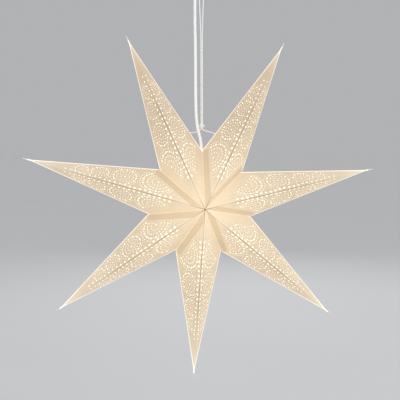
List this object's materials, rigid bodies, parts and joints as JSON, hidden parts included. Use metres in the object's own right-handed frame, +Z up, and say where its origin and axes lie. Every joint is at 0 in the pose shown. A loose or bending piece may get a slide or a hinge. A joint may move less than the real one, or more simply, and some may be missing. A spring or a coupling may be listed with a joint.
{
  "type": "paper star",
  "caption": "Hollow star of folded, perforated paper points glued edge to edge, lit by a bulb inside and hung on a knotted string and a cable from a small ceiling cup.",
  "frame": {"origin": "on the ceiling, midway between the two screw holes of the ceiling cup", "axes": "+Z up, -Y towards the front of the star, +X to the right seen from the front"},
  "size_m": [0.6025, 0.176, 0.7338],
  "materials": {
    "paper": "matte perforated paper, glowing from within",
    "string": "twisted white string",
    "cable": "smooth white plastic sheath",
    "holder": "moulded white plastic",
    "bulb": "frosted glass, lit",
    "cup": "moulded white plastic",
    "hook": "white painted steel",
    "nut": "zinc plated steel"
  },
  "bodies": {
    "root": {"point_1": "paper", "point_2": "paper", "point_3": "paper", "point_4": "paper", "point_5": "paper", "point_6": "paper", "point_7": "paper", "hanging_string": "string", "string_knot": "string", "cable": "cable", "cord_grip": "holder", "holder_cap": "holder", "holder_insert": "holder", "holder_sleeve": "holder", "bulb": "bulb", "ceiling_cup": "cup", "cup_cord_grip": "cup", "ceiling_hook": "hook", "hook_nut": "nut"}
  },
  "joints": []
}
